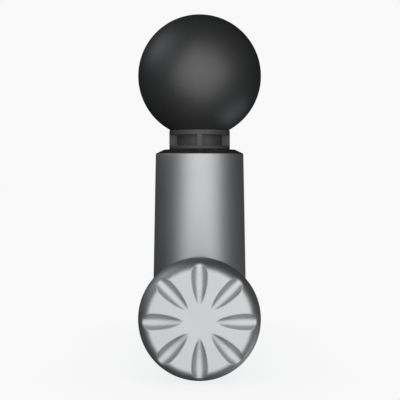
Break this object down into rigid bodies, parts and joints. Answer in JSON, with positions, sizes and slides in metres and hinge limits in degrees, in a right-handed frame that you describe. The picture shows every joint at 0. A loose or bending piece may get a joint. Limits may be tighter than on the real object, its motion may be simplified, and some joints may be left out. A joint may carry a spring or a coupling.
{
  "type": "handheld percussion massager",
  "caption": "Pistol-form handheld massager: ball head on a crank-driven plunger, tapered metal barrel, flared handle ending in a fluted dial.",
  "frame": {"origin": "centre of the barrel's flat rear face, which the object stands on", "axes": "+Z along the barrel towards the ball head, -Y along the handle towards its fluted end, +X to the right when the fluted end faces the viewer"},
  "size_m": [0.0598, 0.1396, 0.1559],
  "materials": {
    "satin_metal": "satin",
    "dark_foam": "matte",
    "dark_plastic": "satin",
    "black_plastic": "satin",
    "black_rubber": "matte",
    "cast_alloy": "matte",
    "bright_steel": "polished",
    "brass": "satin",
    "copper_wire": "gloss",
    "board_green": "satin",
    "cell_wrap": "satin",
    "nickel": "satin",
    "light_guide": "satin"
  },
  "bodies": {
    "housing": {"barrel_tube": "satin_metal", "front_ring": "black_plastic", "dust_seal": "black_rubber", "rear_cap": "black_plastic", "cap_screw_1": "bright_steel", "cap_screw_2": "bright_steel", "cap_screw_3": "bright_steel", "tact_switch": "black_plastic", "button_board": "board_green", "status_light_1": "light_guide", "status_light_2": "light_guide", "status_light_3": "light_guide", "status_light_4": "light_guide", "guide_sleeve": "brass", "drive_frame": "cast_alloy", "damper_ring_rear": "black_rubber", "damper_ring_front": "black_rubber", "motor_base": "cast_alloy", "motor_front_bearing": "bright_steel", "motor_rear_bearing": "bright_steel", "stator_core": "nickel", "stator_windings": "copper_wire", "motor_screw_1": "bright_steel", "motor_screw_2": "bright_steel", "motor_screw_3": "bright_steel", "motor_screw_4": "bright_steel", "handle_shell": "satin_metal", "junction_ring": "dark_plastic", "battery_cell_1": "cell_wrap", "battery_cell_2": "cell_wrap", "battery_cell_3": "cell_wrap", "cell_holder_front": "black_plastic", "cell_holder_rear": "black_plastic", "cell_strap": "nickel", "control_board": "board_green", "usb_port": "bright_steel", "speed_encoder": "black_plastic"},
    "rotor": {"crank_disc": "cast_alloy", "counterweight": "brass", "pin_clip": "bright_steel", "motor_shaft": "bright_steel", "rotor_bell": "black_plastic", "rotor_magnets": "nickel"},
    "rod": {"connecting_rod": "cast_alloy", "rod_bearing": "bright_steel", "wrist_pin": "bright_steel"},
    "plunger": {"plunger": "bright_steel"},
    "head": {"head_ball": "dark_foam", "head_neck": "dark_plastic", "head_o_ring": "black_rubber"},
    "button": {"power_button": "black_plastic"},
    "dial": {"end_knob": "satin_metal", "encoder_shaft": "bright_steel"}
  },
  "joints": [
    {"name": "motor_spin", "type": "hinge", "parent": "housing", "child": "rotor", "pos_m": [0, -0.02, 0.0235], "axis": [0, 1, 0], "continuous": true},
    {"name": "rod_turn", "type": "hinge", "parent": "rotor", "child": "rod", "pos_m": [0, 0, 0.02], "axis": [0, 1, 0], "continuous": true},
    {"name": "head_stroke", "type": "slide", "parent": "housing", "child": "plunger", "axis": [0, 0, 1], "range_m": [0, 0.007]},
    {"name": "head_pull_off", "type": "slide", "parent": "plunger", "child": "head", "axis": [0, 0, 1], "range_m": [0, 0.016]},
    {"name": "power_button_press", "type": "slide", "parent": "housing", "child": "button", "axis": [0, -1, 0], "range_m": [0, 0.0005], "stiffness_N_per_m": 600},
    {"name": "speed_dial_turn", "type": "hinge", "parent": "housing", "child": "dial", "pos_m": [0, -0.1, 0.0235], "axis": [0, -1, 0], "range_deg": [0, 270]}
  ],
  "couplings": [
    {"joint": "rod_turn", "follows": "motor_spin", "ratio": -1}
  ]
}
